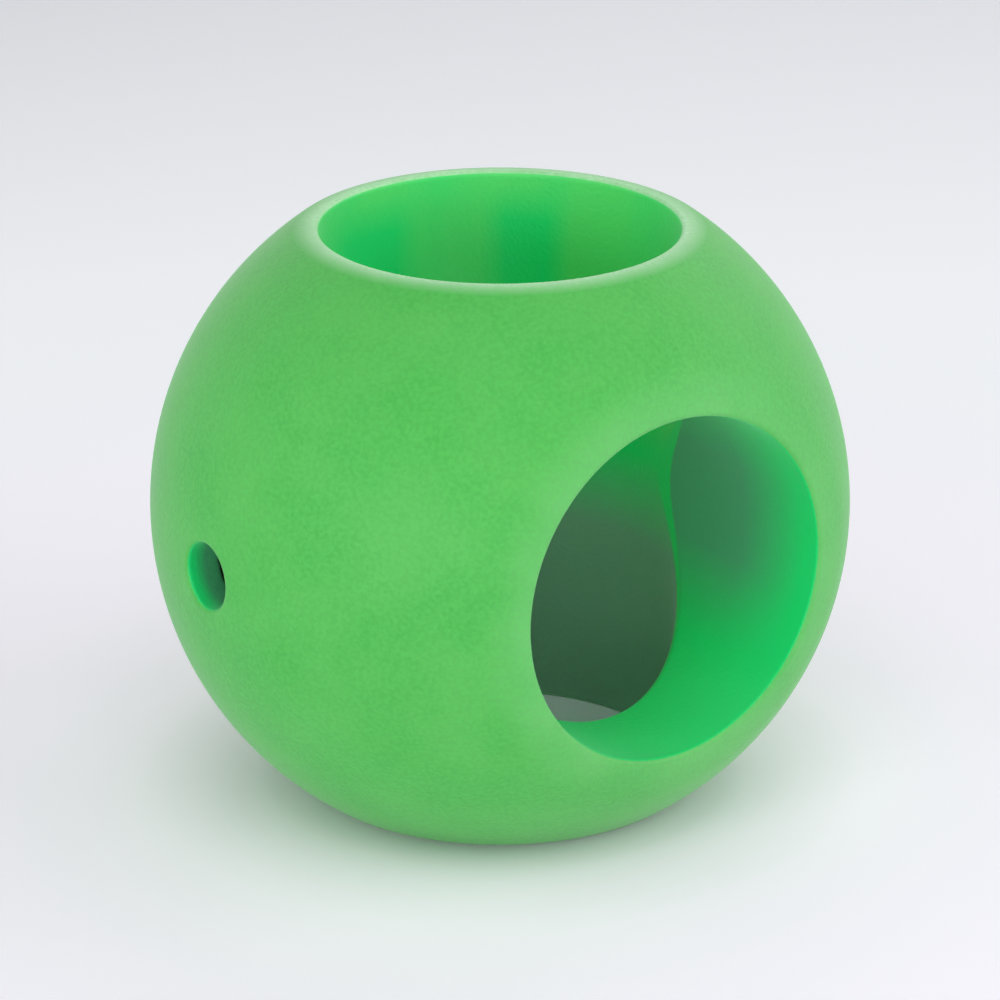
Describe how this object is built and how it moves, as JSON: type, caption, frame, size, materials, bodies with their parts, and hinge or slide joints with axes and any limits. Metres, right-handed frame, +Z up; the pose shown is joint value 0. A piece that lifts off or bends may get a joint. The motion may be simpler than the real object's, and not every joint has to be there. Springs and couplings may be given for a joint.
{
  "type": "magnetic laundry ball",
  "caption": "Soft ball with an upright through bore, a side bore that opens into it and a sealed magnet capsule in each thick side, put loose into a washing machine or dishwasher.",
  "frame": {"origin": "middle of the ball's footprint box, on the surface that the ball stands on", "axes": "+Z up along the upright bore, +X out of the side bore, +Y from the front pillar to the rear one"},
  "size_m": [0.069, 0.0746, 0.062],
  "materials": {
    "soft_green": "satin soft-touch, moulded green",
    "capsule": "matte dark grey moulded plastic",
    "magnet": "bright nickel plating",
    "plate": "zinc-plated steel"
  },
  "bodies": {
    "root": {"soft_body": "soft_green", "magnet_cup_front": "capsule", "magnet_cup_rear": "capsule", "magnet_cap_front": "capsule", "magnet_cap_rear": "capsule", "magnet_front": "magnet", "magnet_rear": "magnet", "back_plate_front": "plate", "back_plate_rear": "plate"}
  },
  "joints": []
}
